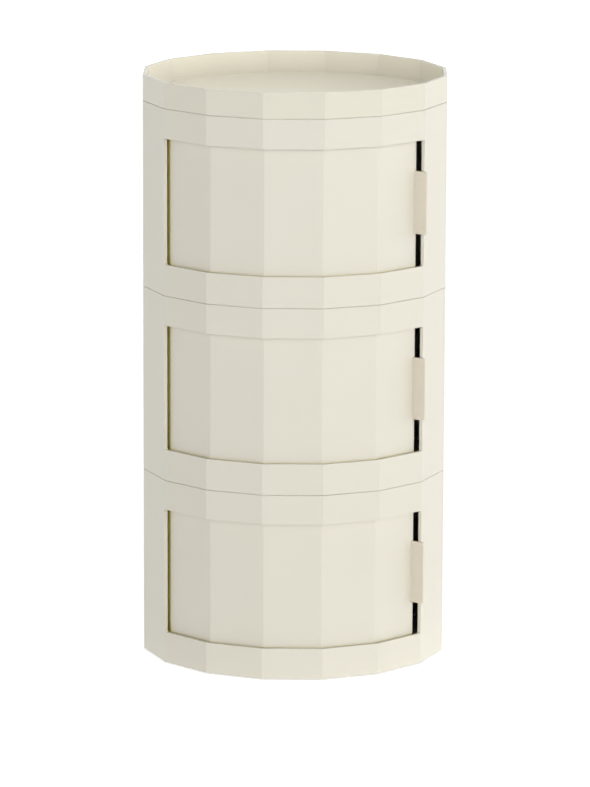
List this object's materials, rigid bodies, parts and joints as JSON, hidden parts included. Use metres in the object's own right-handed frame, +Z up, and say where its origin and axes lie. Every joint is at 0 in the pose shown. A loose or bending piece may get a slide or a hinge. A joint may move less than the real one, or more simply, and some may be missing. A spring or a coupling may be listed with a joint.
{
  "type": "stacking storage cabinet",
  "caption": "Faceted drum-shaped storage cabinet: stacked compartments whose doors slide round behind the wall, under a shallow lift-off tray.",
  "frame": {"origin": "on the floor, on the cabinet's vertical axis", "axes": "+Z up along the axis, -Y towards the front with the doors, +X to the right of someone facing the front"},
  "size_m": [0.3138, 0.3138, 0.61],
  "materials": {
    "shell": "satin moulded cream",
    "door": "satin moulded cream",
    "tray": "satin moulded cream",
    "pull_tab": "satin moulded cream",
    "floor": "fine matt moulded cream",
    "head_ring": "fine matt moulded cream",
    "glide": "slippery moulded off-white",
    "pad": "matt dark grey"
  },
  "bodies": {
    "lower_module": {"lower_shell": "shell", "lower_floor": "floor", "lower_head_ring": "head_ring", "foot_pad_1": "pad", "foot_pad_2": "pad", "foot_pad_3": "pad", "foot_pad_4": "pad"},
    "lower_sliding_door": {"lower_door": "door", "lower_pull_tab": "pull_tab", "lower_glide_bottom_left": "glide", "lower_glide_bottom_right": "glide", "lower_glide_top_left": "glide", "lower_glide_top_right": "glide"},
    "middle_module": {"middle_shell": "shell", "middle_floor": "floor", "middle_head_ring": "head_ring"},
    "middle_sliding_door": {"middle_door": "door", "middle_pull_tab": "pull_tab", "middle_glide_bottom_left": "glide", "middle_glide_bottom_right": "glide", "middle_glide_top_left": "glide", "middle_glide_top_right": "glide"},
    "upper_module": {"upper_shell": "shell", "upper_floor": "floor", "upper_head_ring": "head_ring"},
    "upper_sliding_door": {"upper_door": "door", "upper_pull_tab": "pull_tab", "upper_glide_bottom_left": "glide", "upper_glide_bottom_right": "glide", "upper_glide_top_left": "glide", "upper_glide_top_right": "glide"},
    "tray": {"top_tray": "tray"}
  },
  "joints": [
    {"name": "lower_door_slide", "type": "hinge", "parent": "lower_module", "child": "lower_sliding_door", "pos_m": [0, 0, 0.097], "axis": [0, 0, -1], "range_deg": [0, 108]},
    {"name": "middle_door_slide", "type": "hinge", "parent": "middle_module", "child": "middle_sliding_door", "pos_m": [0, 0, 0.291], "axis": [0, 0, -1], "range_deg": [0, 108]},
    {"name": "upper_door_slide", "type": "hinge", "parent": "upper_module", "child": "upper_sliding_door", "pos_m": [0, 0, 0.485], "axis": [0, 0, -1], "range_deg": [0, 108]},
    {"name": "middle_module_lift", "type": "slide", "parent": "lower_module", "child": "middle_module", "axis": [0, 0, 1], "range_m": [0, 0.05]},
    {"name": "upper_module_lift", "type": "slide", "parent": "middle_module", "child": "upper_module", "axis": [0, 0, 1], "range_m": [0, 0.05]},
    {"name": "tray_lift", "type": "slide", "parent": "upper_module", "child": "tray", "axis": [0, 0, 1], "range_m": [0, 0.05]}
  ]
}
